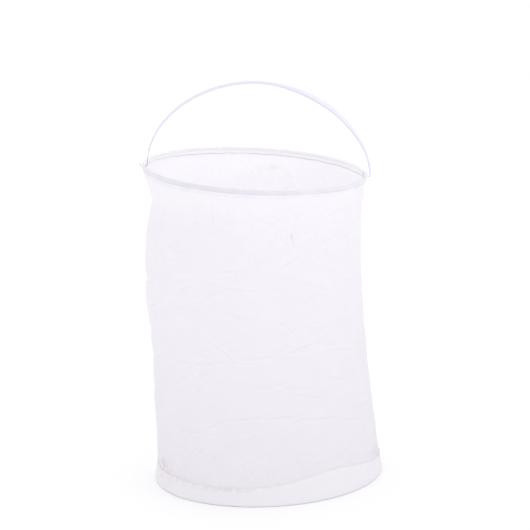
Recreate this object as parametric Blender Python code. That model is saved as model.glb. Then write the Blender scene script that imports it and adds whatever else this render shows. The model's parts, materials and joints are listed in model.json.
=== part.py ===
"""Collapsible paper lantern: a paper cylinder between two wire rings, with a bail handle.

Metres, +Z up, origin at the centre of the underside, bail pivots at the -X and +X sides.
The paper wall is divided at its folds into level bands that nest inside each other, so
that the mouth can come down to the base as the folding paper does. The paper stands a
little shorter on the +X side, so the mouth and its bail lean that way. The bail's left leg
stands inside the mouth ring and its right leg outside it.
"""
import math

import bmesh
import bpy
from mathutils import Matrix, Vector

# Driving dimensions
BASE_DIAMETER = 0.182         # over the base binding
MOUTH_DIAMETER = 0.178        # over the mouth binding
BODY_HEIGHT = 0.250           # underside to the top of the mouth, on the axis
MOUTH_TILT = math.radians(5.4)
BAIL_RISE = 0.071             # crown of the bail above its pivots

PAPER = 0.0003                # paper thickness
CARD = 0.0010                 # base card thickness
TIN = 0.0004                  # candle cup sheet thickness
GAP = 0.0003                  # clearance between neighbouring pieces

RING_WIRE_RADIUS = 0.0008
BAIL_WIRE_RADIUS = 0.0005
ROUND_STEPS = 48              # facets round the lantern, shared by all nested pieces

TIER_COUNT = 8
TIER_GAP = 0.0004             # radial clearance between nested bands
TIER_LAP = 0.0015             # how far each band reaches up past the next one's lower edge
STACK_CLEARANCE = 0.0005      # below and above the closed stack of bands

BASE_BINDING_HEIGHT = 0.011
BASE_BINDING_TURN_IN = 0.008
MOUTH_BINDING_HEIGHT = 0.007
FLARE_RISE = 0.0065           # cone from the top band out to the mouth, at its shortest
NECK_RISE = 0.0033            # upright edge of the top band, inside the binding

TRAY_UPSTAND_HEIGHT = 0.009

CUP_RADIUS = 0.020            # holds a tea light of 38 mm
CUP_HEIGHT = 0.010
CUP_LIP = 0.0015

SLEEVE_WIDTH = 0.0042
SLEEVE_THICKNESS = 0.0020
SLEEVE_CORNER = 0.0006
SLEEVE_CLEARANCE = 0.0008     # between the sleeve and the side of the mouth binding
HOOK_CLEARANCE = 0.0005       # between a hook's tip and the face of the binding beside it
HOOK_BEND_RADIUS = 0.0010
INNER_TIP_LENGTH = 0.0045     # right hook, which reaches in under the ring
OUTER_TIP_LENGTH = 0.0028     # left hook, which reaches out under the ring
LEFT_LEG_GAP = 0.0018         # between the binding's inner face and the left leg's middle
FOOT_HEIGHT = 0.0020          # where the arch starts above its pivots
BAIL_ROUNDNESS = 1.88         # exponent of the arch; 2 would be an ellipse
BAIL_LEAN = 0.0042            # how far the crown sits towards -X of the middle of the feet
BAIL_STEPS = 40
BARE_STEPS = 2                # steps of the left leg that the sleeve leaves bare

# Derived dimensions
BASE_RADIUS = BASE_DIAMETER / 2
MOUTH_RADIUS = MOUTH_DIAMETER / 2
RING_INSET = PAPER + GAP + RING_WIRE_RADIUS     # binding surface to the middle of the wire
BINDING_DEPTH = 2 * RING_INSET                  # radial thickness of a folded binding
FIRST_TIER_RADIUS = BASE_RADIUS - PAPER - GAP
FIRST_TIER_BOTTOM = RING_INSET + RING_WIRE_RADIUS + GAP
NECK_RADIUS = MOUTH_RADIUS - PAPER - GAP
PIVOT_DEPTH = RING_INSET + RING_WIRE_RADIUS + GAP + BAIL_WIRE_RADIUS
NECK_DEPTH = PIVOT_DEPTH + BAIL_WIRE_RADIUS + 2 * GAP
LOWEST_NECK = (
    BODY_HEIGHT - NECK_RADIUS * math.sin(MOUTH_TILT)
    - (NECK_DEPTH + NECK_RISE) * math.cos(MOUTH_TILT)
)
FLARE_BOTTOM = LOWEST_NECK - FLARE_RISE
STACK_BOTTOM = TRAY_UPSTAND_HEIGHT + STACK_CLEARANCE
TIER_RISE = (FLARE_BOTTOM - STACK_CLEARANCE - TIER_LAP - STACK_BOTTOM) / TIER_COUNT
RIGHT_LEG_RADIUS = MOUTH_RADIUS + SLEEVE_CLEARANCE + SLEEVE_THICKNESS / 2
LEFT_LEG_RADIUS = MOUTH_RADIUS - BINDING_DEPTH - LEFT_LEG_GAP
INNER_TIP_RADIUS = MOUTH_RADIUS - BINDING_DEPTH - HOOK_CLEARANCE - BAIL_WIRE_RADIUS
OUTER_TIP_RADIUS = MOUTH_RADIUS + HOOK_CLEARANCE + BAIL_WIRE_RADIUS


def clear_scene():
    for item in list(bpy.data.objects):
        bpy.data.objects.remove(item, do_unlink=True)


def make_material(name, colour, roughness, metallic=0.0):
    material = bpy.data.materials.new(name)
    material.use_nodes = True
    shader = material.node_tree.nodes["Principled BSDF"]
    shader.inputs["Base Color"].default_value = (*colour, 1.0)
    shader.inputs["Roughness"].default_value = roughness
    shader.inputs["Metallic"].default_value = metallic
    return material


def add_empty(name, location, parent=None):
    empty = bpy.data.objects.new(name, None)
    empty.location = location
    empty.parent = parent
    bpy.context.collection.objects.link(empty)
    return empty


def add_object(name, builder, material, location=(0, 0, 0), parent=None):
    """Turn a bmesh into a named object with outward faces and smooth round sides."""
    bmesh.ops.remove_doubles(builder, verts=builder.verts, dist=1e-6)
    bmesh.ops.recalc_face_normals(builder, faces=builder.faces)
    mesh = bpy.data.meshes.new(name)
    builder.to_mesh(mesh)
    builder.free()
    mesh.shade_smooth()
    mesh.set_sharp_from_angle(angle=math.radians(35))
    mesh.materials.append(material)
    piece = bpy.data.objects.new(name, mesh)
    piece.location = location
    piece.parent = parent
    bpy.context.collection.objects.link(piece)
    return piece


def turned(outline):
    """Spin an outline of (radius, height) points about Z; it is closed unless it ends on the axis."""
    builder = bmesh.new()
    corners = [builder.verts.new((radius, 0, height)) for radius, height in outline]
    on_axis = outline[0][0] == 0 and outline[-1][0] == 0
    followers = corners[1:] if on_axis else corners[1:] + corners[:1]
    edges = [builder.edges.new(pair) for pair in zip(corners, followers)]
    bmesh.ops.spin(
        builder, geom=corners + edges, cent=(0, 0, 0), axis=(0, 0, 1),
        angle=2 * math.pi, steps=ROUND_STEPS, use_merge=True,
    )
    return builder


def bridge_loops(builder, one_loop, other_loop):
    """Faces between two closed loops with the same number of corners."""
    for side, corner in enumerate(one_loop):
        before = side - 1
        builder.faces.new((one_loop[before], corner, other_loop[side], other_loop[before]))


def arc(centre, radius, start, end, steps):
    """Points of an arc in a plane, with angles in degrees."""
    angles = [math.radians(start + (end - start) * i / steps) for i in range(steps + 1)]
    return [(centre[0] + radius * math.cos(a), centre[1] + radius * math.sin(a)) for a in angles]


def ring_outline(outer_radius, height):
    """Section of the wire ring inside a binding of this outer radius."""
    return arc((outer_radius - RING_INSET, height), RING_WIRE_RADIUS, 0, 315, 7)


def binding_outline(outer_radius, outer_height, inner_height):
    """Section of a paper strip folded up round the wire, resting flat at height 0."""
    inner_radius = outer_radius - BINDING_DEPTH
    middle = outer_radius - RING_INSET
    half_flat = RING_INSET / 2
    outside = [
        (outer_radius, outer_height), (outer_radius, RING_INSET),
        (middle + half_flat, 0), (middle - half_flat, 0),
        (inner_radius, RING_INSET), (inner_radius, inner_height),
    ]
    inside = [
        (inner_radius + PAPER, inner_height), (inner_radius + PAPER, RING_INSET),
        (middle - half_flat + PAPER / 2, PAPER), (middle + half_flat - PAPER / 2, PAPER),
        (outer_radius - PAPER, RING_INSET), (outer_radius - PAPER, outer_height),
    ]
    return outside + inside


def make_base(paper, steel, card, tin):
    base = add_empty("base_frame", (0, 0, 0))
    add_object("bottom_ring", turned(ring_outline(BASE_RADIUS, RING_INSET)), steel, parent=base)
    binding = binding_outline(BASE_RADIUS, BASE_BINDING_HEIGHT, BASE_BINDING_TURN_IN)
    add_object("bottom_binding", turned(binding), paper, parent=base)

    tray_radius = BASE_RADIUS - BINDING_DEPTH - GAP
    tray = [
        (0, 0), (tray_radius, 0), (tray_radius, TRAY_UPSTAND_HEIGHT),
        (tray_radius - CARD, TRAY_UPSTAND_HEIGHT), (tray_radius - CARD, CARD), (0, CARD),
    ]
    add_object("base_tray", turned(tray), card, parent=base)

    cup = [
        (0, 0), (CUP_RADIUS, 0), (CUP_RADIUS, CUP_HEIGHT - TIN),
        (CUP_RADIUS + CUP_LIP, CUP_HEIGHT - TIN), (CUP_RADIUS + CUP_LIP, CUP_HEIGHT),
        (CUP_RADIUS - TIN, CUP_HEIGHT), (CUP_RADIUS - TIN, TIN), (0, TIN),
    ]
    add_object("candle_cup", turned(cup), tin, location=(0, 0, CARD + GAP), parent=base)
    return base


def mouth_band(outside, inside, bottom):
    """The top band: level where it nests, then flared out to the tilted mouth."""
    level = Matrix.Identity(4)
    tilted = Matrix.Translation((0, 0, BODY_HEIGHT)) @ Matrix.Rotation(MOUTH_TILT, 4, "Y")
    neck_bottom = -NECK_DEPTH - NECK_RISE
    rings = [
        (level, outside, bottom), (level, outside, FLARE_BOTTOM),
        (tilted, NECK_RADIUS, neck_bottom), (tilted, NECK_RADIUS, -NECK_DEPTH),
        (tilted, NECK_RADIUS - PAPER, -NECK_DEPTH), (tilted, NECK_RADIUS - PAPER, neck_bottom),
        (level, inside, FLARE_BOTTOM), (level, inside, bottom),
    ]
    builder = bmesh.new()
    loops = []
    for placement, radius, height in rings:
        loop = []
        for step in range(ROUND_STEPS):
            angle = 2 * math.pi * step / ROUND_STEPS
            point = Vector((radius * math.cos(angle), radius * math.sin(angle), height))
            loop.append(builder.verts.new(placement @ point - Vector((0, 0, bottom))))
        loops.append(loop)
    for lower, upper in zip(loops, loops[1:] + loops[:1]):
        bridge_loops(builder, lower, upper)
    return builder


def make_tiers(paper, base):
    """The paper wall, from the widest band at the base to the narrowest at the mouth.

    The first band also stands outside the tray's upstand, and the others close on top of it.
    """
    for index in range(TIER_COUNT):
        outside = FIRST_TIER_RADIUS - index * (PAPER + TIER_GAP)
        inside = outside - PAPER
        lower_fold = STACK_BOTTOM + index * TIER_RISE
        bottom = FIRST_TIER_BOTTOM if index == 0 else lower_fold
        top = lower_fold + TIER_RISE + TIER_LAP - bottom
        if index < TIER_COUNT - 1:
            builder = turned([(outside, 0), (outside, top), (inside, top), (inside, 0)])
        else:
            builder = mouth_band(outside, inside, bottom)
        parent = base if index == 0 else None
        add_object(f"paper_tier_{index + 1}", builder, paper, (0, 0, bottom), parent)


def make_mouth(paper, steel):
    mouth = add_empty("mouth_frame", (0, 0, BODY_HEIGHT))
    mouth.rotation_euler = (0, MOUTH_TILT, 0)
    add_object("top_ring", turned(ring_outline(MOUTH_RADIUS, -RING_INSET)), steel, parent=mouth)

    folded_up = binding_outline(MOUTH_RADIUS, MOUTH_BINDING_HEIGHT, MOUTH_BINDING_HEIGHT)
    folded_down = [(radius, -height) for radius, height in folded_up]
    binding = add_object("top_binding", turned(folded_down), paper, parent=mouth)

    # A hole at each end of the bail's axis, below the wire
    drill = bmesh.new()
    bmesh.ops.create_cone(
        drill, cap_ends=True, segments=12, radius1=BAIL_WIRE_RADIUS + GAP,
        radius2=BAIL_WIRE_RADIUS + GAP, depth=2.2 * MOUTH_RADIUS,
    )
    cutter = add_object("hook_hole_cutter", drill, steel, (0, 0, -PIVOT_DEPTH), mouth)
    cutter.rotation_euler = (0, math.pi / 2, 0)
    cutter.hide_render = True
    cutter.display_type = "WIRE"
    holes = binding.modifiers.new("hook_holes", "BOOLEAN")
    holes.object = cutter
    holes.operation = "DIFFERENCE"
    holes.solver = "EXACT"
    return mouth


def bail_arch():
    """Centre line of the arch above the pivots, from the left foot over the crown to the right."""
    middle = (RIGHT_LEG_RADIUS - LEFT_LEG_RADIUS) / 2
    half_span = (RIGHT_LEG_RADIUS + LEFT_LEG_RADIUS) / 2
    rise = BAIL_RISE - FOOT_HEIGHT
    points = []
    for step in range(BAIL_STEPS + 1):
        angle = math.pi * (1 - step / BAIL_STEPS)
        across, up = math.cos(angle), math.sin(angle)
        height_share = abs(up) ** (2 / BAIL_ROUNDNESS)
        reach = half_span * math.copysign(abs(across) ** (2 / BAIL_ROUNDNESS), across)
        points.append((middle + reach - BAIL_LEAN * height_share, FOOT_HEIGHT + rise * height_share))
    return points


def hook(leg, tip, tip_length):
    """From the foot of a leg down, under the mouth ring along the axis, and up to the tip."""
    bend = HOOK_BEND_RADIUS
    side = math.copysign(bend, tip - leg)
    leg_bend = arc((0, bend), bend, 0, -90, 4)
    tip_bend = arc((0, bend), bend, -90, -180, 4)
    from_leg = [(leg + side - x * side / bend, z) for x, z in leg_bend]
    to_tip = [(tip - side - x * side / bend, z) for x, z in tip_bend]
    return from_leg + to_tip + [(tip, tip_length)]


def swept_sleeve(path):
    """A rounded flat strip with a round bore, swept along a path in the XZ plane."""
    half_width = SLEEVE_WIDTH / 2
    half_depth = SLEEVE_THICKNESS / 2
    corner = SLEEVE_CORNER
    section = [
        (half_width, half_depth - corner), (half_width - corner, half_depth),
        (corner - half_width, half_depth), (-half_width, half_depth - corner),
        (-half_width, corner - half_depth), (corner - half_width, -half_depth),
        (half_width - corner, -half_depth), (half_width, corner - half_depth),
    ]
    bore = arc((0, 0), BAIL_WIRE_RADIUS + GAP, 22.5, 337.5, 7)
    builder = bmesh.new()
    stations = []
    for index, (x, z) in enumerate(path):
        previous_point = Vector(path[max(index - 1, 0)])
        next_point = Vector(path[min(index + 1, len(path) - 1)])
        tangent = (next_point - previous_point).normalized()
        outward = Vector((-tangent.y, tangent.x))
        loops = []
        for outline in (section, bore):
            loops.append([
                builder.verts.new((x + depth * outward.x, across, z + depth * outward.y))
                for across, depth in outline
            ])
        stations.append(loops)
    bands = [pair for near, far in zip(stations, stations[1:]) for pair in zip(near, far)]
    for one_loop, other_loop in bands + [stations[0], stations[-1]]:
        bridge_loops(builder, one_loop, other_loop)
    return builder


def make_handle(steel, plastic, mouth):
    pivot = add_empty("handle_pivot", (0, 0, -PIVOT_DEPTH), mouth)
    arch = bail_arch()
    left_hook = hook(-LEFT_LEG_RADIUS, -OUTER_TIP_RADIUS, OUTER_TIP_LENGTH)
    right_hook = hook(RIGHT_LEG_RADIUS, INNER_TIP_RADIUS, INNER_TIP_LENGTH)
    centre_line = left_hook[::-1] + arch + right_hook

    curve = bpy.data.curves.new("handle_wire", "CURVE")
    curve.dimensions = "3D"
    curve.bevel_depth = BAIL_WIRE_RADIUS
    curve.bevel_resolution = 2
    curve.use_fill_caps = True
    spline = curve.splines.new("POLY")
    spline.points.add(len(centre_line) - 1)
    for point, (x, z) in zip(spline.points, centre_line):
        point.co = (x, 0, z, 1)
    curve.materials.append(steel)
    wire = bpy.data.objects.new("handle_wire", curve)
    wire.parent = pivot
    bpy.context.collection.objects.link(wire)

    add_object("handle_sleeve", swept_sleeve(arch[BARE_STEPS:]), plastic, parent=pivot)


def main():
    clear_scene()
    paper = make_material("white_paper", (0.88, 0.87, 0.91), 0.9)
    steel = make_material("galvanised_wire", (0.55, 0.55, 0.56), 0.35, 1.0)
    card = make_material("white_card", (0.82, 0.80, 0.78), 0.85)
    tin = make_material("tinned_sheet", (0.72, 0.72, 0.73), 0.3, 1.0)
    plastic = make_material("white_plastic", (0.86, 0.85, 0.93), 0.4)

    base = make_base(paper, steel, card, tin)
    make_tiers(paper, base)
    mouth = make_mouth(paper, steel)
    make_handle(steel, plastic, mouth)


main()
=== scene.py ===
import json
import math

import bpy
import numpy as np
from mathutils import Matrix, Vector


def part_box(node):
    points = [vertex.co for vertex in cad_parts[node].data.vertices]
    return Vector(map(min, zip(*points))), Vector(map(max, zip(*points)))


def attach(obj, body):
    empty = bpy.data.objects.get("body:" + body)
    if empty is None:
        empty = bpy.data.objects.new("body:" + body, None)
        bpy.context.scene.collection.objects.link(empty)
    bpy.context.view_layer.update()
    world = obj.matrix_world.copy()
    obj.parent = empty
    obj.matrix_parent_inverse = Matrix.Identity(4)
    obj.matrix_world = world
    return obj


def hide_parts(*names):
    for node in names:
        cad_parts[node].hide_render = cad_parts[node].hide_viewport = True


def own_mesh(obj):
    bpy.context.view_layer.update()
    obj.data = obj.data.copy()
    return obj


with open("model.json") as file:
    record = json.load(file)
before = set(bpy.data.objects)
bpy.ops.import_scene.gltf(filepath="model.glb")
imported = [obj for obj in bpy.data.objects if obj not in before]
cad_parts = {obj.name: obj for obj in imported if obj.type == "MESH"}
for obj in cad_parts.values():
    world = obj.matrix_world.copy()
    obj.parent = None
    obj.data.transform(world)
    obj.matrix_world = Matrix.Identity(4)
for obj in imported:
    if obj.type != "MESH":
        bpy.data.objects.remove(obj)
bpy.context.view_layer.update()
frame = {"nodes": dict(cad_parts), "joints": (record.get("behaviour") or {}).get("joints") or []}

MM = 0.001
NODES = frame["nodes"]

# ---------------------------------------------------------------- places taken from the frame


def joint(name):
    return next(j for j in frame["joints"] if j["name"] == name)


SWING = joint("handle_swing")
MOUTH_TILT = math.atan2(-SWING["axis"][2], SWING["axis"][0])
MOUTH_Z = Vector((math.sin(MOUTH_TILT), 0, math.cos(MOUTH_TILT)))
PIVOT = Vector(SWING["pos_m"])
PIVOT_DEPTH = 3.0 * MM                              # below the mouth's plane
MOUTH_TOP = PIVOT + MOUTH_Z * PIVOT_DEPTH
MOUTH_FRAME = Matrix.Translation(MOUTH_TOP) @ Matrix.Rotation(MOUTH_TILT, 4, "Y")

BASE_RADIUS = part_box("bottom_binding")[1].y
MOUTH_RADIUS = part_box("top_binding")[1].y
WALL_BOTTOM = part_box("paper_tier_1")[0].z
WALL_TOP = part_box("top_binding")[0].z - 4 * MM     # where the wall meets the collar

PAPER = 0.3 * MM                                    # as thick as the CAD has it
RING_INSET = 1.4 * MM                               # outside of a binding to the middle of its wire
HEM_HEIGHT = 14.5 * MM                              # free edge of the bottom binding
RIM_HEM_DEPTH = 6.2 * MM                            # free edge of the top binding below the mouth
NECK_DEPTH = 4.1 * MM                               # top edge of the sheet below the mouth
NECK_RADIUS = MOUTH_RADIUS - 1.0 * MM

COLUMNS = 560                                       # points round the lantern
WALL_ROWS = 228
COLLAR_ROWS = 24
SHEET_RADIUS = 88 * MM                              # of the sheet, where its creases are laid out
ROUND = 2 * math.pi * SHEET_RADIUS

# ---------------------------------------------------------------- camera and light


def aim_camera():
    """The photograph's view: low, from the front, and turned a little on its axis."""
    target = Vector((0, 0, 0.125))
    distance, elevation, roll = 2.198, math.radians(14.555), math.radians(-2.61)
    focal_px, frame_px, sensor_mm = 2761.5, 530, 36.0
    target_px = (261.8, 321.6)
    back = Vector((0, -math.cos(elevation), math.sin(elevation)))
    right = Vector((1, 0, 0))
    up = right.cross(-back)
    turned_right = right * math.cos(roll) + up * math.sin(roll)
    turned_up = up * math.cos(roll) - right * math.sin(roll)
    off_x = (frame_px / 2 - target_px[0]) / focal_px
    off_y = (frame_px / 2 - target_px[1]) / focal_px
    forward = (-back + turned_right * off_x - turned_up * off_y).normalized()
    across = (turned_right - forward * turned_right.dot(forward)).normalized()
    upward = across.cross(forward)
    placement = Matrix((across, upward, -forward)).transposed().to_4x4()
    placement.translation = target + back * distance
    data = bpy.data.cameras.new("camera")
    data.sensor_width = sensor_mm
    data.lens = focal_px / frame_px * sensor_mm
    data.clip_start, data.clip_end = 0.05, 60
    camera = bpy.data.objects.new("camera", data)
    camera.matrix_world = placement
    bpy.context.scene.collection.objects.link(camera)
    bpy.context.scene.camera = camera


# name, place, point it faces, width and height, watts
SOFTBOXES = [
    ("softbox_top", (0.25, -0.15, 1.25), (0, 0, 0.1), (1.3, 1.3), 0.25),
    ("softbox_right", (1.35, -1.1, 0.45), (0, 0, 0.06), (1.5, 0.9), 1.5),
    ("softbox_back", (-0.3, 1.5, 0.40), (0, 0, 0.2), (1.4, 0.7), 2.0),
]
STUDIO_LIGHT = 1.03                                 # strength of the even white light all round
FLOOR_WHITE = 0.992


def add_softbox(name, place, look_at, size, watts):
    data = bpy.data.lights.new(name, "AREA")
    data.shape = "RECTANGLE"
    data.size, data.size_y = size
    data.energy = watts
    lamp = bpy.data.objects.new(name, data)
    lamp.location = place
    direction = Vector(look_at) - Vector(place)
    lamp.rotation_euler = direction.to_track_quat("-Z", "Y").to_euler()
    lamp.visible_camera = False
    bpy.context.scene.collection.objects.link(lamp)


def light_scene():
    scene = bpy.context.scene
    scene.view_settings.view_transform = "Standard"
    scene.view_settings.look = "None"
    world = bpy.data.worlds.new("studio")
    world.use_nodes = True
    sky = world.node_tree.nodes["Background"]
    sky.inputs["Color"].default_value = (1.0, 1.0, 1.0, 1.0)
    sky.inputs["Strength"].default_value = STUDIO_LIGHT
    scene.world = world
    for softbox in SOFTBOXES:
        add_softbox(*softbox)


def add_floor():
    mesh = bpy.data.meshes.new("floor")
    reach, steps = 14.0, 96
    turns = [2 * math.pi * i / steps for i in range(steps)]
    rim = [(reach * math.cos(turn), reach * math.sin(turn), 0) for turn in turns]
    mesh.from_pydata(rim, [], [list(range(steps))])
    floor = bpy.data.objects.new("floor", mesh)
    bpy.context.scene.collection.objects.link(floor)
    material = bpy.data.materials.new("floor_white")
    material.use_nodes = True
    shader = material.node_tree.nodes["Principled BSDF"]
    shader.inputs["Base Color"].default_value = (FLOOR_WHITE, FLOOR_WHITE, FLOOR_WHITE, 1)
    shader.inputs["Roughness"].default_value = 0.9
    shader.inputs["Specular IOR Level"].default_value = 0.1
    mesh.materials.append(material)


# ---------------------------------------------------------------- materials


class Nodes:
    """Short calls for building one material's nodes."""

    def __init__(self, name):
        self.material = bpy.data.materials.new(name)
        self.material.use_nodes = True
        self.tree = self.material.node_tree
        self.shader = self.tree.nodes["Principled BSDF"]
        self.output = self.tree.nodes["Material Output"]
        coordinates = self.tree.nodes.new("ShaderNodeTexCoord")
        self.place = coordinates.outputs["Object"]

    def link(self, source, target):
        self.tree.links.new(source, target)

    def stretched(self, scale):
        node = self.tree.nodes.new("ShaderNodeMapping")
        node.inputs["Scale"].default_value = scale
        self.link(self.place, node.inputs["Vector"])
        return node.outputs["Vector"]

    def noise(self, scale, detail=3.0, roughness=0.55, place=None, distortion=0.0):
        node = self.tree.nodes.new("ShaderNodeTexNoise")
        node.inputs["Scale"].default_value = scale
        node.inputs["Detail"].default_value = detail
        node.inputs["Roughness"].default_value = roughness
        node.inputs["Distortion"].default_value = distortion
        self.link(place or self.place, node.inputs["Vector"])
        return node.outputs["Fac"]

    def attribute(self, name):
        node = self.tree.nodes.new("ShaderNodeAttribute")
        node.attribute_name = name
        return node.outputs["Fac"]

    def math(self, operation, first, second=0.0, third=0.0, clamp=False):
        node = self.tree.nodes.new("ShaderNodeMath")
        node.operation = operation
        node.use_clamp = clamp
        for socket, value in zip(node.inputs, (first, second, third)):
            if isinstance(value, (int, float)):
                socket.default_value = value
            else:
                self.link(value, socket)
        return node.outputs[0]

    def remap(self, value, low, high, to_low=0.0, to_high=1.0):
        node = self.tree.nodes.new("ShaderNodeMapRange")
        for socket, number in zip(("From Min", "From Max", "To Min", "To Max"),
                                  (low, high, to_low, to_high)):
            node.inputs[socket].default_value = number
        self.link(value, node.inputs["Value"])
        return node.outputs["Result"]

    def blend(self, share, first, second):
        node = self.tree.nodes.new("ShaderNodeMix")
        node.data_type = "RGBA"
        self.link(share, node.inputs["Factor"])      # sockets 6, 7 and output 2 are the colours
        for socket, value in zip((node.inputs[6], node.inputs[7]), (first, second)):
            if isinstance(value, tuple):
                socket.default_value = (*value, 1.0)
            else:
                self.link(value, socket)
        return node.outputs[2]

    def bump(self, height, distance, strength=1.0):
        node = self.tree.nodes.new("ShaderNodeBump")
        node.inputs["Distance"].default_value = distance
        node.inputs["Strength"].default_value = strength
        self.link(height, node.inputs["Height"])
        self.link(node.outputs["Normal"], self.shader.inputs["Normal"])
        return node.outputs["Normal"]


LAVENDER_PAPER = (0.935, 0.917, 0.958)
SHADED_PAPER = (0.868, 0.848, 0.894)
# RIM_PAPER is whiter than the sheet's paper: painted light standing in for light that scatters
# through the binding
RIM_PAPER = (0.985, 0.968, 0.995)
SHADED_RIM = (0.775, 0.762, 0.840)
HEM_PAPER = (0.868, 0.845, 0.893)
SHADED_HEM = (0.806, 0.780, 0.832)
GLUE_STAIN = (0.775, 0.710, 0.705)
STEEL, DULL_STEEL = (0.84, 0.84, 0.86), (0.66, 0.66, 0.68)
TIN, DULL_TIN = (0.74, 0.74, 0.75), (0.60, 0.60, 0.61)
STRIP_FACE, CLOUDED_FACE = (0.86, 0.85, 0.93), (0.82, 0.81, 0.90)
STRIP_EDGE = (0.80, 0.785, 0.90)
CARD, CLOUDED_CARD, CARD_FLECK = (0.90, 0.885, 0.875), (0.85, 0.83, 0.815), (0.55, 0.50, 0.46)


def paper_material(name, light=LAVENDER_PAPER, shaded=SHADED_PAPER, see_through=0.46, depth=0.5,
                   stained=False):
    """Thin paper: cloudy pulp, fine fibres, and painted light and shade: darker in the valleys of
    creases, lighter on their ridges.

    see_through is the share of light that it scatters through, and depth is how strongly the
    attribute of painted light and shade moves the colour between light and shaded.
    """
    n = Nodes(name)
    cloud = n.noise(70, 4, 0.6)
    pulp = n.noise(900, 2, 0.5)
    fibres_up = n.noise(1.0, 2, 0.5, n.stretched((1500, 1500, 260)), 1.5)
    fibres_round = n.noise(1.0, 2, 0.5, n.stretched((300, 300, 1600)), 1.5)
    painted_light_and_shade = n.attribute("painted_light_and_shade")
    mottle = n.math("MULTIPLY_ADD", cloud, 0.55, n.math("MULTIPLY", pulp, 0.25))
    mottle = n.math("ADD", mottle, n.math("MULTIPLY", fibres_up, 0.20))
    shade = n.remap(mottle, 0.35, 0.65, 0.0, 0.30)
    # painted shade and painted light: the attribute darkens the colour below 0 and lightens it
    # above 0
    shade = n.math("MULTIPLY_ADD", painted_light_and_shade, -depth, shade, clamp=True)
    colour = n.blend(shade, light, shaded)
    if stained:
        stain = n.attribute("stain")
        blot = n.remap(n.noise(260, 4, 0.65), 0.44, 0.58)
        colour = n.blend(n.math("MULTIPLY", stain, blot, clamp=True), colour, GLUE_STAIN)
    n.link(colour, n.shader.inputs["Base Color"])
    n.link(n.remap(cloud, 0.3, 0.7, 0.72, 0.86), n.shader.inputs["Roughness"])
    n.shader.inputs["Specular IOR Level"].default_value = 0.25
    fibres = n.math("ADD", n.math("MULTIPLY", fibres_up, 0.5),
                    n.math("MULTIPLY", fibres_round, 0.5))
    relief = n.math("MULTIPLY_ADD", pulp, 0.5, fibres)
    normal = n.bump(relief, 0.12 * MM, 0.5)
    through = n.tree.nodes.new("ShaderNodeBsdfTranslucent")
    n.link(colour, through.inputs["Color"])
    n.link(normal, through.inputs["Normal"])
    mix = n.tree.nodes.new("ShaderNodeMixShader")
    mix.inputs["Fac"].default_value = see_through
    n.link(n.shader.outputs["BSDF"], mix.inputs[1])
    n.link(through.outputs["BSDF"], mix.inputs[2])
    n.link(mix.outputs["Shader"], n.output.inputs["Surface"])
    return n.material


def metal_material(name, colour, dark, roughness, grain):
    """Drawn or rolled metal: fine drawing lines, dull patches and a little tarnish."""
    n = Nodes(name)
    patch = n.noise(180, 4, 0.6)
    lines = n.noise(1.0, 3, 0.6, n.stretched(grain))
    shade = n.math("MULTIPLY_ADD", patch, 0.6, n.math("MULTIPLY", lines, 0.4))
    n.link(n.blend(n.remap(shade, 0.4, 0.62), colour, dark), n.shader.inputs["Base Color"])
    n.link(n.remap(shade, 0.35, 0.65, roughness - 0.08, roughness + 0.12),
           n.shader.inputs["Roughness"])
    n.shader.inputs["Metallic"].default_value = 1.0
    n.bump(lines, 0.03 * MM, 0.4)
    return n.material


def plastic_material():
    """White lavender plastic strip, slightly waxy, with faint drawing lines."""
    n = Nodes("strip_plastic")
    cloud = n.noise(120, 3, 0.5)
    lines = n.noise(1.0, 2, 0.5, n.stretched((500, 4200, 500)))
    face = n.blend(n.remap(cloud, 0.35, 0.65), STRIP_FACE, CLOUDED_FACE)
    n.link(n.blend(n.attribute("edge"), face, STRIP_EDGE), n.shader.inputs["Base Color"])
    n.link(n.remap(cloud, 0.3, 0.7, 0.30, 0.44), n.shader.inputs["Roughness"])
    n.bump(lines, 0.02 * MM, 0.4)
    return n.material


def card_material():
    """Grey-white board with pressed fibres and a few darker flecks."""
    n = Nodes("base_card")
    cloud = n.noise(45, 4, 0.6)
    fleck = n.remap(n.noise(1100, 2, 0.5), 0.66, 0.74)
    body = n.blend(n.remap(cloud, 0.3, 0.7), CARD, CLOUDED_CARD)
    n.link(n.blend(n.math("MULTIPLY", fleck, 0.5), body, CARD_FLECK), n.shader.inputs["Base Color"])
    n.link(n.remap(cloud, 0.3, 0.7, 0.78, 0.92), n.shader.inputs["Roughness"])
    n.shader.inputs["Specular IOR Level"].default_value = 0.25
    n.bump(n.noise(700, 4, 0.65), 0.1 * MM, 0.6)
    return n.material


# ---------------------------------------------------------------- mesh helpers


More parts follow.
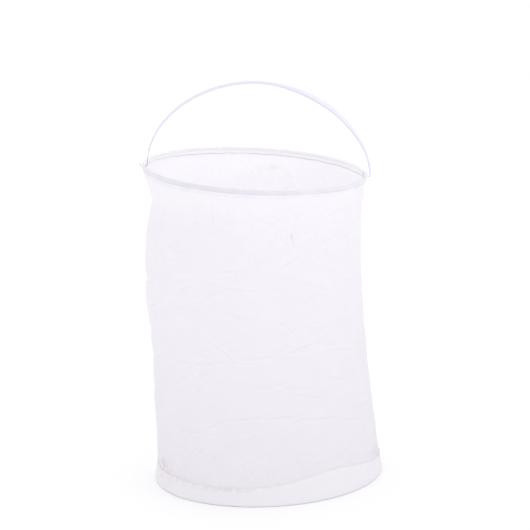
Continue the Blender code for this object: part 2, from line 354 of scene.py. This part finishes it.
def grid_object(name, rings, material, closed_across=False, capped=False, attributes=None,
                normals=None, sharp=62):
    """A mesh from rings of points: shape (ring, column, 3), closed round the columns.

    With closed_across the last ring also joins the first, as a tube's section does. With capped
    the first and last rings are each closed with one face. Edges are sharp above the angle
    sharp, in degrees, unless normals gives each point its normal or sharp is None.
    """
    count, columns = rings.shape[:2]
    mesh = bpy.data.meshes.new(name)
    index = np.arange(count * columns).reshape(count, columns)
    below, above = (index, np.roll(index, -1, 0)) if closed_across else (index[:-1], index[1:])
    faces = np.stack([below, np.roll(below, -1, 1), np.roll(above, -1, 1), above], -1)
    faces = faces.reshape(-1, 4).tolist()
    if capped:
        faces += [index[0, ::-1].tolist(), index[-1].tolist()]
    mesh.from_pydata(rings.reshape(-1, 3).tolist(), [], faces)
    for key, values in (attributes or {}).items():
        layer = mesh.attributes.new(key, "FLOAT", "POINT")
        layer.data.foreach_set("value", np.ascontiguousarray(values, dtype=np.float32).ravel())
    mesh.materials.append(material)
    mesh.shade_smooth()
    mesh.update()
    if normals is not None:
        mesh.normals_split_custom_set_from_vertices(normals.reshape(-1, 3).tolist())
    elif sharp is not None:
        mesh.set_sharp_from_angle(angle=math.radians(sharp))
    item = bpy.data.objects.new(name, mesh)
    bpy.context.scene.collection.objects.link(item)
    return item


def tilted(points, origin):
    """Points of a level frame, tilted as the mouth is and moved to origin."""
    turn = np.array(MOUTH_FRAME.to_3x3())
    return points @ turn.T + np.array(origin)


def to_mouth(points):
    """Points measured from the middle of the mouth's plane."""
    return tilted(points, MOUTH_FRAME.translation)


def to_pivot(points):
    """Points measured from the bail's hinge axis."""
    return tilted(points, PIVOT)


def circle_points(radius, height, theta):
    radius, height, theta = np.broadcast_arrays(radius, height, theta)
    return np.stack([radius * np.cos(theta), radius * np.sin(theta), height], -1)


THETA = np.linspace(0, 2 * math.pi, COLUMNS, endpoint=False)[None, :]
TURN = (np.degrees(THETA) + 180) % 360 - 180         # the same angles in degrees, -90 at the front


def smooth_noise(rng, waves, size):
    """A smooth random value round the lantern, from a few waves of these counts."""
    total = np.zeros_like(THETA)
    for count in waves:
        total += rng.normal() * np.cos(count * THETA) + rng.normal() * np.sin(count * THETA)
    return size * total / math.sqrt(len(waves))


def smooth_step(value):
    value = np.clip(value, 0, 1)
    return value * value * (3 - 2 * value)


def degrees_away(turn, centre):
    return (turn - centre + 180) % 360 - 180


def smooth_rows(values, passes):
    """Takes the corners out of values that run along the first axis."""
    for _ in range(passes):
        inner = (values[:-2] + 2 * values[1:-1] + values[2:]) / 4
        values = np.concatenate([values[:1], inner, values[-1:]])
    return values


# ---------------------------------------------------------------- the crumpled sheet

# Half widths of the wall in mm, from the centre line, by height in mm
LEFT_SIDE = [
    (0, 90.3), (6, 89.9), (12, 89.2), (28, 88.8), (50, 88.4), (80, 88.1), (110, 88.3),
    (135, 89.6), (155, 90.5), (180, 90.6), (195, 89.6), (208, 87.4), (219, 84.9),
    (227, 83.2), (232, 82.9), (245, 85.0),
]
RIGHT_SIDE = [
    (0, 90.4), (8, 89.9), (20, 88.9), (40, 87.2), (60, 85.3), (85, 83.4), (100, 82.6),
    (124, 81.6), (150, 80.7), (170, 80.3), (190, 80.7), (205, 81.4), (218, 82.9), (231, 85.2),
    (245, 87.6),
]

# Creases that are seen: (angle round in degrees, height mm, slope in degrees,
# half length mm, width mm, depth mm, bend); a negative depth is a valley, and the last four of
# each are multiplied by SEEN_SCALE
SEEN_SCALE = (0.8, 0.75, 0.52, 0.5)
SEEN_CREASES = [
    (-72, 211, -82, 8, 1.7, -4.6, 0.0), (-69.5, 208, -80, 8, 2.4, 1.3, 0.0),
    (-75, 203, 74, 7, 1.8, 0.9, 0.0),
    (-98, 199, -88, 17, 2.8, 0.9, -0.45), (-104, 187, 3, 18, 1.6, -0.4, 0.0),
    (-81, 225, -33, 17, 3.0, 0.9, 0.1), (-88, 226, -28, 14, 2.6, -0.6, 0.0),
    (-60, 228, 12, 16, 2.4, 0.6, 0.0), (-45, 224, 22, 15, 2.0, -0.6, 0.1),
    (-40, 190, 84, 15, 2.4, 0.7, 0.5), (-34, 186, 88, 17, 2.2, -0.6, 0.5),
    (-28, 188, 86, 14, 2.4, 0.6, 0.4), (-50, 204, 8, 12, 1.8, -0.45, 0.0),
    (-56, 196, 30, 10, 1.8, 0.5, 0.0), (-47, 214, -12, 13, 2.0, 0.5, 0.0),
    (-76, 190, 24, 14, 2.6, -0.5, 0.0), (-120, 164, 28, 10, 2.0, -0.6, 0.0),
    (-112, 168, 20, 12, 2.4, 0.5, 0.0), (-112, 125, -37, 13, 2.0, -1.1, -0.25),
    (-108, 124, -40, 15, 3.0, 0.8, -0.25), (-135, 112, 2, 20, 1.8, -0.5, 0.0),
    (-104, 113, -2, 20, 1.6, 0.5, 0.0), (-88, 119, 6, 12, 1.8, -0.8, 0.0),
    (-78, 122, 12, 12, 1.8, 0.7, 0.0), (-66, 124, 6, 14, 1.7, -0.7, 0.0),
    (-60, 130, 14, 12, 1.8, 0.6, 0.0), (-52, 119, -8, 15, 2.0, 0.6, 0.0),
    (-40, 114, -14, 14, 1.8, -0.6, 0.0), (-76, 139, -40, 9, 1.8, -0.6, 0.0),
    (-62, 138, 8, 12, 2.0, 0.5, 0.0), (-48, 136, -60, 8, 2.0, -0.6, 0.0),
    (-128, 100, 40, 9, 1.8, -0.6, 0.0), (-124, 98, 42, 10, 2.2, 0.5, 0.0),
    (-67, 84, -16, 13, 1.6, -0.5, 0.0), (-62, 80, -14, 14, 1.8, 0.4, 0.0),
    (-96, 71, 10, 14, 1.8, -0.7, 0.0), (-82, 70, 0, 18, 1.6, -0.9, 0.0),
    (-60, 65, -8, 20, 1.6, -0.8, 0.0), (-38, 57, -12, 16, 1.8, -0.6, 0.0),
    (-118, 64, 24, 10, 1.8, -0.5, 0.0), (-128, 54, 2, 26, 1.8, 0.6, 0.0),
    (-100, 58, 10, 14, 1.8, 0.5, 0.0), (-122, 40, 36, 9, 1.8, -0.6, 0.0),
]

# The scalloped outline of the two sides, in the same units and without a bend
PINCHES = [
    (178, 228, 0, 22, 5.5, -1.3), (184, 166, 4, 20, 3.6, -1.9), (176, 127, -5, 22, 4.2, -1.9),
    (182, 102, 3, 18, 3.2, -1.8), (179, 77, -4, 20, 3.0, -0.9), (-172, 17, 0, 16, 3.0, -0.9),
    (-6, 94, -4, 12, 2.4, -0.9),
]

# Where the sheet folds flat: faint broken creases at these heights in mm
FOLD_LEVELS = (66, 92, 118, 147, 172, 203)
CREASES_A_LEVEL = 8

# Crumpling at every size: count, then the ranges of half length, width and depth in mm, and the
# spread of the slope in degrees
CRUMPLES = [
    (48, (18, 40), (7, 13), (0.35, 0.95), 40),
    (240, (6, 15), (2.0, 5.0), (0.10, 0.36), 58),
    (720, (3, 8), (1.0, 2.0), (0.05, 0.19), 70),
]

# Upright puckers where the sheet is gathered at its two ends: count, range of heights in mm,
# spread of the slope in degrees, then the ranges of half length, width and depth in mm
PUCKERS = [
    (150, (12, 34), 16, (4, 12), (1.4, 2.8), (0.08, 0.38)),
    (130, (220, 242), 17, (6, 16), (1.6, 3.4), (0.08, 0.36)),
]


class Creases:
    """The sheet's radial relief: many short straight folds of every size."""

    def __init__(self):
        self.rng = np.random.default_rng(41)
        long, broad, strong, bent = SEEN_SCALE
        self.folds = [
            self.placed_fold(a, z, slope, long * half, broad * wide, strong * deep, bent * bend)
            for a, z, slope, half, wide, deep, bend in SEEN_CREASES
        ]
        self.folds += [self.placed_fold(*pinch, 0.0) for pinch in PINCHES]
        for level in FOLD_LEVELS:
            self.scatter(CREASES_A_LEVEL, lambda: level + self.rng.normal(0, 3),
                         0, 13, (7, 19), (1.4, 2.6), (0.14, 0.40))
        for count, half, wide, deep, spread in CRUMPLES:
            self.scatter(count, lambda: self.rng.uniform(8, 250), 0, spread, half, wide, deep)
        for count, heights, spread, half, wide, deep in PUCKERS:
            self.scatter(count, lambda: self.rng.uniform(*heights), 90, spread, half, wide, deep)

    @staticmethod
    def placed_fold(turn, height, slope, half, wide, deep, bend):
        """One fold in metres and radians, with its place as a length round the sheet."""
        return (math.radians(turn) * SHEET_RADIUS, height * MM, math.radians(slope), half * MM,
                wide * MM, deep * MM, bend)

    def scatter(self, count, draw_height, slope, spread, half, wide, deep):
        """Adds random folds; the order of the draws fixes where they all lie."""
        rng = self.rng
        for _ in range(count):
            around, height = rng.uniform(0, ROUND), draw_height() * MM
            lean = math.radians(slope + rng.normal(0, spread))
            sign = -1 if rng.random() < 0.5 else 1
            self.folds.append((around, height, lean, rng.uniform(*half) * MM,
                               rng.uniform(*wide) * MM, sign * rng.uniform(*deep) * MM,
                               rng.normal(0, 0.12)))

    def relief(self, theta, height):
        """Sum of the folds; each is worked out only over the rows and columns that it reaches."""
        height = np.broadcast_to(height, np.broadcast(theta, height).shape)
        total = np.zeros(height.shape)
        around = (theta * SHEET_RADIUS).ravel()
        row_low, row_high = height.min(1), height.max(1)
        for place, level, slope, half, wide, deep, bend in self.folds:
            cos, sin = math.cos(slope), math.sin(slope)
            side = 6 * wide + abs(bend) * 4 * half   # beyond these reaches a fold is flat
            reach_u = 2.4 * half * abs(cos) + side * abs(sin)
            reach_z = 2.4 * half * abs(sin) + side * abs(cos)
            du = (around - place + ROUND / 2) % ROUND - ROUND / 2
            columns = np.nonzero(np.abs(du) < reach_u)[0]
            rows = np.nonzero((row_high > level - reach_z) & (row_low < level + reach_z))[0]
            if not len(columns) or not len(rows):
                continue
            patch = np.ix_(rows, columns)
            du, dz = du[columns][None, :], height[patch] - level
            along = du * cos + dz * sin
            across = dz * cos - du * sin
            across = across - bend * along * along / half
            ridge = np.sqrt((across / wide) ** 2 + 0.02)  # a crest that is only slightly rounded
            total[patch] += deep * np.exp(-(along / half) ** 2 - ridge)
        return total


CREASES = Creases()

SIDE_HEIGHTS = np.arange(0, 246, 1.0) * MM
LEFT_RADII = smooth_rows(np.interp(SIDE_HEIGHTS, *(np.array(LEFT_SIDE).T * MM)), 18)
RIGHT_RADII = smooth_rows(np.interp(SIDE_HEIGHTS, *(np.array(RIGHT_SIDE).T * MM)), 18)


def side_radius(theta, height):
    """The smooth shape of the wall, before its creases."""
    left = np.interp(height, SIDE_HEIGHTS, LEFT_RADII)
    right = np.interp(height, SIDE_HEIGHTS, RIGHT_RADII)
    return (left + right) / 2 + (right - left) / 2 * np.cos(theta)


def lap_step(theta):
    """The sheet's free edge lies over its other edge at the back."""
    edge, width = math.radians(92), math.radians(6)
    away = (theta - edge + math.pi) % (2 * math.pi) - math.pi
    return 1.2 * PAPER * ((away > 0) & (away < width))


def wall_surface(height):
    """Outer radius of the wall at these heights, one row for each."""
    fade = smooth_step((height - 4 * MM) / (12 * MM))
    return side_radius(THETA, height) + CREASES.relief(THETA, height) * (0.25 + 0.75 * fade) \
        + lap_step(THETA)


# The collar starts as the wall ends: its foot's radius, its slope there, and the drop from the
# mouth's plane down to it
LEAN_STEP = 3 * MM
FOOT_RADIUS = side_radius(THETA, WALL_TOP)
FOOT_LEAN = (FOOT_RADIUS - side_radius(THETA, WALL_TOP - LEAN_STEP)) / LEAN_STEP
DROP = PIVOT_DEPTH + (PIVOT.z - WALL_TOP) / math.cos(MOUTH_TILT) \
    - NECK_RADIUS * np.cos(THETA) * math.tan(MOUTH_TILT)


def collar_radius(depth):
    """The collar's smooth shape, a Hermite curve out of the wall, at depths below the mouth."""
    length = DROP - NECK_DEPTH
    share = np.clip((DROP - depth) / length, 0, 1)
    tangent = (NECK_RADIUS - FOOT_RADIUS) * 1.15
    lean = FOOT_LEAN * length
    s2, s3 = share ** 2, share ** 3
    return FOOT_RADIUS * (2 * s3 - 3 * s2 + 1) + lean * (s3 - 2 * s2 + share) \
        + NECK_RADIUS * (3 * s2 - 2 * s3) + tangent * (s3 - s2)


def collar_points(share):
    """Outer points of the collar from the wall's top edge (0) to inside the mouth binding (1)."""
    share = share[:, None]
    depth = DROP - (DROP - NECK_DEPTH) * share
    radius = collar_radius(depth)
    level = to_mouth(circle_points(radius, -depth, THETA))
    foot = circle_points(FOOT_RADIUS, WALL_TOP, THETA)
    points = level + (foot - level[:1]) * ((1 - share) ** 2)[..., None]
    calm = smooth_step((depth - RIM_HEM_DEPTH) / np.minimum(6 * MM, DROP - RIM_HEM_DEPTH))
    relief = CREASES.relief(THETA, points[..., 2]) * calm
    return points + circle_points(1.0, 0.0, THETA) * (relief + lap_step(THETA))[..., None]


def grid_normals(points):
    """Outward normals of a grid of points that is closed round its columns."""
    along = np.roll(points, -1, 1) - np.roll(points, 1, 1)
    up = np.gradient(points, axis=0)
    normal = np.cross(along, up)
    return normal / np.linalg.norm(normal, axis=-1, keepdims=True)


def crease_painted_shade(radius):
    """How ridged (above 0) or creased (below 0) each point is, from the surface's bending; the
    material paints ridges lighter and valleys darker by it, as painted light and painted shade.
    """
    step = 1.0 * MM
    padded = np.concatenate([radius[:1], radius, radius[-1:]])
    across = np.roll(radius, 1, 1) + np.roll(radius, -1, 1) - 2 * radius
    along = padded[2:] + padded[:-2] - 2 * radius
    return np.clip(-(across + along) / (step * step) * (6.0 * MM), -1, 1)


# Marks on the sheet: angle round in degrees, height mm, spread in degrees, spread mm, strength
MARKS = [(-160, 21, 9, 4.5, 0.8), (-146, 17, 12, 2.0, 0.4), (-13, 21, 8, 5.0, 0.55),
         (82, 232.5, 6, 2.2, 0.45), (62, 19, 22, 2.0, 0.3)]


def stain_share(points):
    """How stained the sheet is at each point, from 0 to 1."""
    turn = np.degrees(np.arctan2(points[..., 1], points[..., 0]))
    total = np.zeros(turn.shape)
    for centre, height, spread, tall, strength in MARKS:
        beside, above = degrees_away(turn, centre), points[..., 2] / MM - height
        total += strength * np.exp(-(beside / spread) ** 2 - (above / tall) ** 2)
    return np.clip(total, 0, 1)


def build_sheet(material):
    """The whole sheet as one grid, cut into the wall and the collar, which share their normals."""
    height = np.linspace(WALL_BOTTOM, WALL_TOP, WALL_ROWS + 1)[:, None]
    wall_points = circle_points(wall_surface(height), height, THETA)
    neck_points = collar_points(np.linspace(0, 1, COLLAR_ROWS + 1))
    points = np.concatenate([wall_points, neck_points[1:]])
    normals = grid_normals(points)
    radius = np.hypot(points[..., 0], points[..., 1])
    # painted shade in the valleys of creases and painted light on their ridges, from the sheet's
    # bending
    painted_tone = crease_painted_shade(radius - smooth_rows(radius, 30))
    stain = stain_share(points)
    split = WALL_ROWS
    wall = grid_object("paper_wall", points[:split + 1], material, normals=normals[:split + 1],
                       attributes={"painted_light_and_shade": painted_tone[:split + 1], "stain": stain[:split + 1]})
    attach(wall, "base")
    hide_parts(*[f"paper_tier_{k}" for k in range(1, 8)])
    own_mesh(wall)

    collar = grid_object("paper_collar", points[split:], material, normals=normals[split:],
                         attributes={"painted_light_and_shade": painted_tone[split:], "stain": stain[split:]})
    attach(collar, "mouth")
    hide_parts("paper_tier_8")


# ---------------------------------------------------------------- the bindings


def ring_arc(centre_radius, centre_height, reach, start, end, steps):
    """Section points round the wire, angles in degrees from outward, upward positive."""
    angles = np.radians(np.linspace(start, end, steps))
    return [(centre_radius + reach * math.cos(angle), centre_height + reach * math.sin(angle))
            for angle in angles]


# Glue that shows along the bottom binding's hem: angle round in degrees, spread, strength
GLUE_SPOTS = [(-116, 22, 0.8), (-158, 14, 0.7), (-12, 12, 0.5), (60, 40, 0.45), (130, 30, 0.5)]


def build_bottom_wrap(material):
    """The strip folded up round the base ring, glued to the wall outside and the tray inside."""
    rng = np.random.default_rng(7)
    rise, turned_in = 8.5 * MM, 7.6 * MM            # of the hem at the front right; up the tray
    hem = HEM_HEIGHT + rise * np.exp(-((TURN + 56) / 25) ** 2) \
        + smooth_noise(rng, (2, 3, 5), 0.7 * MM) \
        + smooth_noise(rng, (19, 31, 47, 61), 0.25 * MM)
    pucker = np.abs(smooth_noise(rng, (53, 71, 97, 118), 0.16 * MM))
    ring_radius = BASE_RADIUS - RING_INSET
    shares = np.linspace(1, 0, 17)                  # down the outside, from the hem to the fold

    def outer_strip(share, lift):
        height = RING_INSET + (hem - RING_INSET) * share
        wall = wall_surface(height) + 0.12 * MM
        start = BASE_RADIUS - PAPER
        blend = smooth_step(share / 0.45)
        radius = start * (1 - blend) + wall * blend
        return circle_points(radius + lift + pucker * share ** 2, height, THETA)

    rings = [outer_strip(share, PAPER) for share in shares]
    for radius, height in ring_arc(ring_radius, RING_INSET, RING_INSET, -15, -165, 9):
        rings.append(circle_points(radius, max(height, 0.0), THETA))
    inner_radius = BASE_RADIUS - 2 * RING_INSET
    for height in np.linspace(RING_INSET, turned_in, 5):
        rings.append(circle_points(inner_radius, height, THETA))
    for height in np.linspace(turned_in, RING_INSET, 5):
        rings.append(circle_points(inner_radius + PAPER, height, THETA))
    for radius, height in ring_arc(ring_radius, RING_INSET, RING_INSET - PAPER, -165, -15, 9):
        rings.append(circle_points(radius, height, THETA))
    rings += [outer_strip(share, 0.0) for share in shares[::-1]]
    rings = np.concatenate(rings)

    height = rings[..., 2]
    around = np.zeros(COLUMNS)
    for centre, spread, strength in GLUE_SPOTS:
        around += strength * np.exp(-(degrees_away(TURN[0], centre) / spread) ** 2)
    smear = 2.2 * MM + 3.5 * MM * np.exp(-((TURN + 158) / 16) ** 2)
    stain = np.clip(around, 0, 1)[None, :] * np.exp(-((height - hem + 1.0 * MM) / smear) ** 2)
    hem_line = np.exp(-((height - hem) / (0.8 * MM)) ** 2)
    painted_foot_shade = np.exp(-(height / (1.2 * MM)) ** 2)
    painted_tone = 0.5 * hem_line - 0.5 * painted_foot_shade         # lighter along the cut edge; painted shade along the foot, where it meets the floor
    wrap = grid_object("bottom_wrap", rings[::-1], material, closed_across=True,
                       attributes={"stain": stain[::-1], "painted_light_and_shade": painted_tone[::-1]})
    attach(wrap, "base")
    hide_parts("bottom_binding")


def build_top_wrap(material):
    """The strip folded down round the mouth ring, over both faces of the collar."""
    rng = np.random.default_rng(11)
    hem = RIM_HEM_DEPTH + smooth_noise(rng, (2, 3, 5), 0.45 * MM) \
        + smooth_noise(rng, (17, 29, 43), 0.18 * MM)
    pucker = np.abs(smooth_noise(rng, (41, 59, 83, 101), 0.14 * MM))
    loose = np.abs(smooth_noise(rng, (9, 14, 23, 37, 52, 71), 0.22 * MM))
    turn = TURN[0]
    near_hooks = np.exp(-(turn / 24) ** 4) + np.exp(-((np.abs(turn) - 180) / 24) ** 4)
    loose *= 1 - near_hooks                          # snug where the bail swings past
    pucker *= 1 - 0.9 * near_hooks
    ring_radius = MOUTH_RADIUS - RING_INSET

    def strip(share, side, lift):
        """side 1 lies outside the collar and -1 inside it."""
        depth = RING_INSET + (hem - RING_INSET) * share
        collar = collar_radius(depth)
        if side > 0:
            start, end = MOUTH_RADIUS - PAPER, collar + 0.15 * MM
        else:
            start, end = MOUTH_RADIUS - 2 * RING_INSET + PAPER, collar - 0.12 * MM
        blend = smooth_step((share - 0.02) / 0.32)
        radius = start * (1 - blend) + end * blend
        ripple = pucker * share ** 2 + loose * (1 - blend) * min(share * 6, 1)
        return circle_points(radius + side * (lift + ripple), -depth, THETA)

    def rolled(reach, slack):
        """Over the wire, from outside to inside, standing off it where the strip is loose."""
        section = ring_arc(ring_radius, RING_INSET, reach, -15, -165, 9)
        off = slack * loose
        return [circle_points(radius + off * math.cos(a), -depth + off * max(math.sin(a), 0), THETA)
                for (radius, depth), a in zip(section, np.radians(np.linspace(15, 165, 9)))]

    shares = np.linspace(1, 0, 13)
    inner = 0.85                                    # the inside flap is a little shorter
    rings = [strip(share, 1, PAPER) for share in shares]
    rings += rolled(RING_INSET, 1.0)
    rings += [strip(share * inner, -1, PAPER) for share in shares[::-1]]
    rings += [strip(share * inner, -1, 0.0) for share in shares]
    rings += rolled(RING_INSET - PAPER, 0.6)[::-1]
    rings += [strip(share, 1, 0.0) for share in shares[::-1]]
    rings = np.concatenate(rings)

    # Painted shade: darker and greyer at the front, with broken lines of painted shade along its
    # groove and along its top; the far side is painted lighter
    front = smooth_step((100 - np.abs(turn + 90)) / 25)
    painted_front_shade = 0.06 + front * (0.50 + 0.18 * np.exp(-((turn + 98) / 42) ** 2))
    lines = 0.5 + 0.5 * np.tanh(smooth_noise(rng, (5, 8, 13, 21, 34), 1.4))[0]
    outside = len(shares)
    painted_tone = np.zeros((len(rings), COLUMNS))
    painted_tone += 0.28 * (1 - front)                      # painted light: the far side's inner face is lighter
    painted_tone[:outside + 7] = -painted_front_shade
    # painted shade along the groove and along the top, in broken lines
    groove = np.exp(-((shares - 0.33) / 0.09) ** 2)
    painted_tone[:outside] -= groove[:, None] * painted_front_shade * (0.1 + 1.1 * lines)
    below = smooth_step((shares - 0.36) / 0.12)
    painted_tone[:outside] += below[:, None] * (painted_front_shade - 0.30) * front
    painted_tone[outside + 4:outside + 8] -= painted_front_shade * (0.05 + 1.0 * lines[::-1]) * front
    wrap = grid_object("top_wrap", to_mouth(rings), material, closed_across=True,
                       attributes={"painted_light_and_shade": painted_tone})
    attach(wrap, "mouth")
    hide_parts("top_binding")


# ---------------------------------------------------------------- tray, cup and bail


def turned_object(name, outline, material, columns=180):
    """A turned closed piece: its outline goes from the axis round and back to it."""
    theta = np.linspace(0, 2 * math.pi, columns, endpoint=False)[None, :]
    smallest = 0.05 * MM
    rings = np.concatenate([circle_points(max(r, smallest), z, theta) for r, z in outline])
    return grid_object(name, rings, material, capped=True, sharp=None)


def build_tray(material):
    """The card disc with its turned-up edge, which leans in a little."""
    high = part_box("base_tray")[1]
    radius, top, card = high.x, high.z, 1.0 * MM
    lean = 1.0 * MM
    outline = [(0, 0.0)]
    outline += [(radius * s, 0.0) for s in (0.25, 0.5, 0.75, 0.97)]
    outline += [(radius - 0.35 * MM, 0.05 * MM), (radius, 0.5 * MM)]
    outline += [(radius - lean * s, top * s) for s in (0.3, 0.6, 0.9)]
    outline += [(radius - lean - 0.2 * MM, top), (radius - lean - card + 0.2 * MM, top)]
    outline += [(radius - card - lean * s, top * s) for s in (0.9, 0.6, 0.3)]
    outline += [(radius - card - 0.1 * MM, card + 0.35 * MM), (radius - card - 0.6 * MM, card)]
    outline += [(radius * s, card) for s in (0.94, 0.75, 0.5, 0.25)]
    outline += [(0, card)]
    tray = turned_object("base_card", outline, material)
    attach(tray, "base")
    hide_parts("base_tray")


def build_cup(material):
    """The pressed tin cup, with a rolled lip and a raised ring in its floor."""
    low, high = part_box("candle_cup")
    radius = high.x - 1.5 * MM
    tin = 0.4 * MM
    bottom, top = low.z, high.z
    lip = high.x - radius
    outline = [(0, bottom), (radius * 0.4, bottom), (radius * 0.42, bottom + 0.3 * MM)]
    outline += [(radius * 0.50, bottom + 0.3 * MM), (radius * 0.52, bottom)]
    outline += [(radius - 0.8 * MM, bottom), (radius - 0.2 * MM, bottom + 0.2 * MM)]
    outline += [(radius, bottom + 0.8 * MM), (radius, top - 1.0 * MM)]
    curl = lip / 2
    outline += [(radius + curl - curl * math.cos(a) * 0.98, top - curl - curl * math.sin(a) * 0.5)
                for a in np.linspace(0.2, math.pi, 6)]
    outline += [(radius + curl + curl * math.cos(a), top - curl + curl * math.sin(a))
                for a in np.linspace(0.2, math.pi, 9)]
    outline += [(radius - tin, top - curl - 0.3 * MM), (radius - tin, bottom + tin + 0.8 * MM)]
    outline += [(radius - tin - 0.6 * MM, bottom + tin), (radius * 0.52, bottom + tin)]
    outline += [(radius * 0.50, bottom + tin + 0.3 * MM), (radius * 0.42, bottom + tin + 0.3 * MM)]
    outline += [(radius * 0.40, bottom + tin), (0, bottom + tin)]
    cup = turned_object("tea_light_cup", outline, material)
    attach(cup, "base")
    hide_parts("candle_cup")


def build_strip(material):
    """The bail's plastic strip: flat, round-edged, and twisted a little on its right half."""
    left_leg, right_leg = MOUTH_RADIUS - 4.6 * MM, MOUTH_RADIUS + 1.8 * MM
    foot, rise = 2.0 * MM, 69.0 * MM                # above the hinge axis: the ends, then the arch
    roundness, lean = 1.88, 4.2 * MM                # 2 would be an ellipse; crown towards the left
    steps = 180
    share = np.linspace(0, 1, steps + 1)
    angle = math.pi * (1 - share) * 0.95             # the wire is bare below the left end
    up = np.abs(np.sin(angle)) ** (2 / roundness)
    up[-1] = 0.0
    half_span, middle = (right_leg + left_leg) / 2, (right_leg - left_leg) / 2
    along = np.sign(np.cos(angle)) * np.abs(np.cos(angle)) ** (2 / roundness)
    x = middle + half_span * along - lean * up
    z = foot + rise * up
    step = np.hypot(np.gradient(x), np.gradient(z))
    outward = np.stack([-np.gradient(z), np.zeros_like(x), np.gradient(x)], -1) / step[:, None]
    sideways = np.array([0.0, 1.0, 0.0])
    untwist = 1 - smooth_step((share - 0.80) / 0.13)
    twist = np.radians(46) * smooth_step((share - 0.48) / 0.24) * untwist
    half_width, half_depth, corner = 2.1 * MM, 1.0 * MM, 0.7 * MM
    section = []
    for cx, cy, start in ((half_width - corner, half_depth - corner, 0),
                          (corner - half_width, half_depth - corner, 90),
                          (corner - half_width, corner - half_depth, 180),
                          (half_width - corner, corner - half_depth, 270)):
        for a in np.radians(np.linspace(start, start + 90, 5)):
            section.append((cx + corner * math.cos(a), cy + corner * math.sin(a)))
        if start in (0, 180):                        # across the wide face
            section += [(side * (half_width - corner), section[-1][1])
                        for side in np.linspace(1, -1, 9)[1:-1] * (1 if start == 0 else -1)]
    section = np.array(section)
    from_end = np.minimum(share, 1 - share)
    ends = smooth_step(from_end / 0.012) * 0.25 + 0.75
    stoutness = 1 + 0.15 * smooth_step(from_end / 0.16 - 1)
    thick = stoutness[:, None] * section[None, :, 1]
    cos, sin = np.cos(twist)[:, None], np.sin(twist)[:, None]
    wide = (section[None, :, 0] * cos - thick * sin) * ends[:, None]
    deep = (section[None, :, 0] * sin + thick * cos) * ends[:, None]
    centre = np.stack([x, np.zeros_like(x), z], -1)
    rings = centre[:, None, :] + wide[..., None] * sideways + deep[..., None] * outward[:, None, :]
    edge = smooth_step((np.abs(section[:, 0]) / half_width - 0.30) / 0.62)
    strip = grid_object("bail_strip", to_pivot(rings), material, capped=True,
                        attributes={"edge": np.tile(edge, (steps + 1, 1))}, sharp=50)
    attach(strip, "handle")
    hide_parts("handle_sleeve")


def finish_carried_nodes(steel):
    for name in ("bottom_ring", "top_ring", "handle_wire"):
        node = NODES[name]
        node.data.materials.clear()
        node.data.materials.append(steel)


def main():
    aim_camera()
    light_scene()
    add_floor()
    paper = paper_material("crumpled_paper", stained=True)
    binding = paper_material("binding_paper", RIM_PAPER, SHADED_RIM, see_through=0.02, depth=1.0)
    hem = paper_material("hem_paper", HEM_PAPER, SHADED_HEM, see_through=0.05, stained=True)
    steel = metal_material("galvanised_wire", STEEL, DULL_STEEL, 0.42, (400, 400, 2600))
    tin = metal_material("tinned_sheet", TIN, DULL_TIN, 0.28, (300, 300, 2200))
    build_sheet(paper)
    build_bottom_wrap(hem)
    build_top_wrap(binding)
    build_tray(card_material())
    build_cup(tin)
    build_strip(plastic_material())
    finish_carried_nodes(steel)


main()
